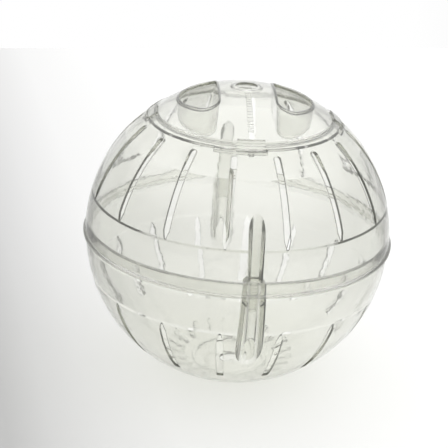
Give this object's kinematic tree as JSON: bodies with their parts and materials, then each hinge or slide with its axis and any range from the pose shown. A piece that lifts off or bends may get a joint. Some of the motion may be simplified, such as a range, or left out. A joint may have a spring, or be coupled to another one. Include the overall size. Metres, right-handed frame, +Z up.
{
  "type": "exercise ball",
  "caption": "Clear hollow ball in two push-together half shells, with ventilation slots all round and a round twist-on door that has two finger pockets.",
  "frame": {"origin": "on the ball's axis, at the underside of its flat foot", "axes": "+Z up along the axis through the middle of the door; -Y is the front, where a post and the door's front lug are; +X is to the right seen from the front"},
  "size_m": [0.1796, 0.1796, 0.1741],
  "materials": {
    "lower_shell_plastic": "clear polished",
    "upper_shell_plastic": "clear polished",
    "door_plastic": "clear polished"
  },
  "bodies": {
    "lower_shell": {"lower_shell": "lower_shell_plastic"},
    "upper_shell": {"upper_shell": "upper_shell_plastic"},
    "door": {"door": "door_plastic"}
  },
  "joints": [
    {"name": "shells_apart", "type": "slide", "parent": "lower_shell", "child": "upper_shell", "axis": [0, 0, 1], "range_m": [0, 0.06]},
    {"name": "door_lift", "type": "slide", "parent": "upper_shell", "child": "door", "axis": [0, 0, 1], "range_m": [0, 0.05]}
  ]
}
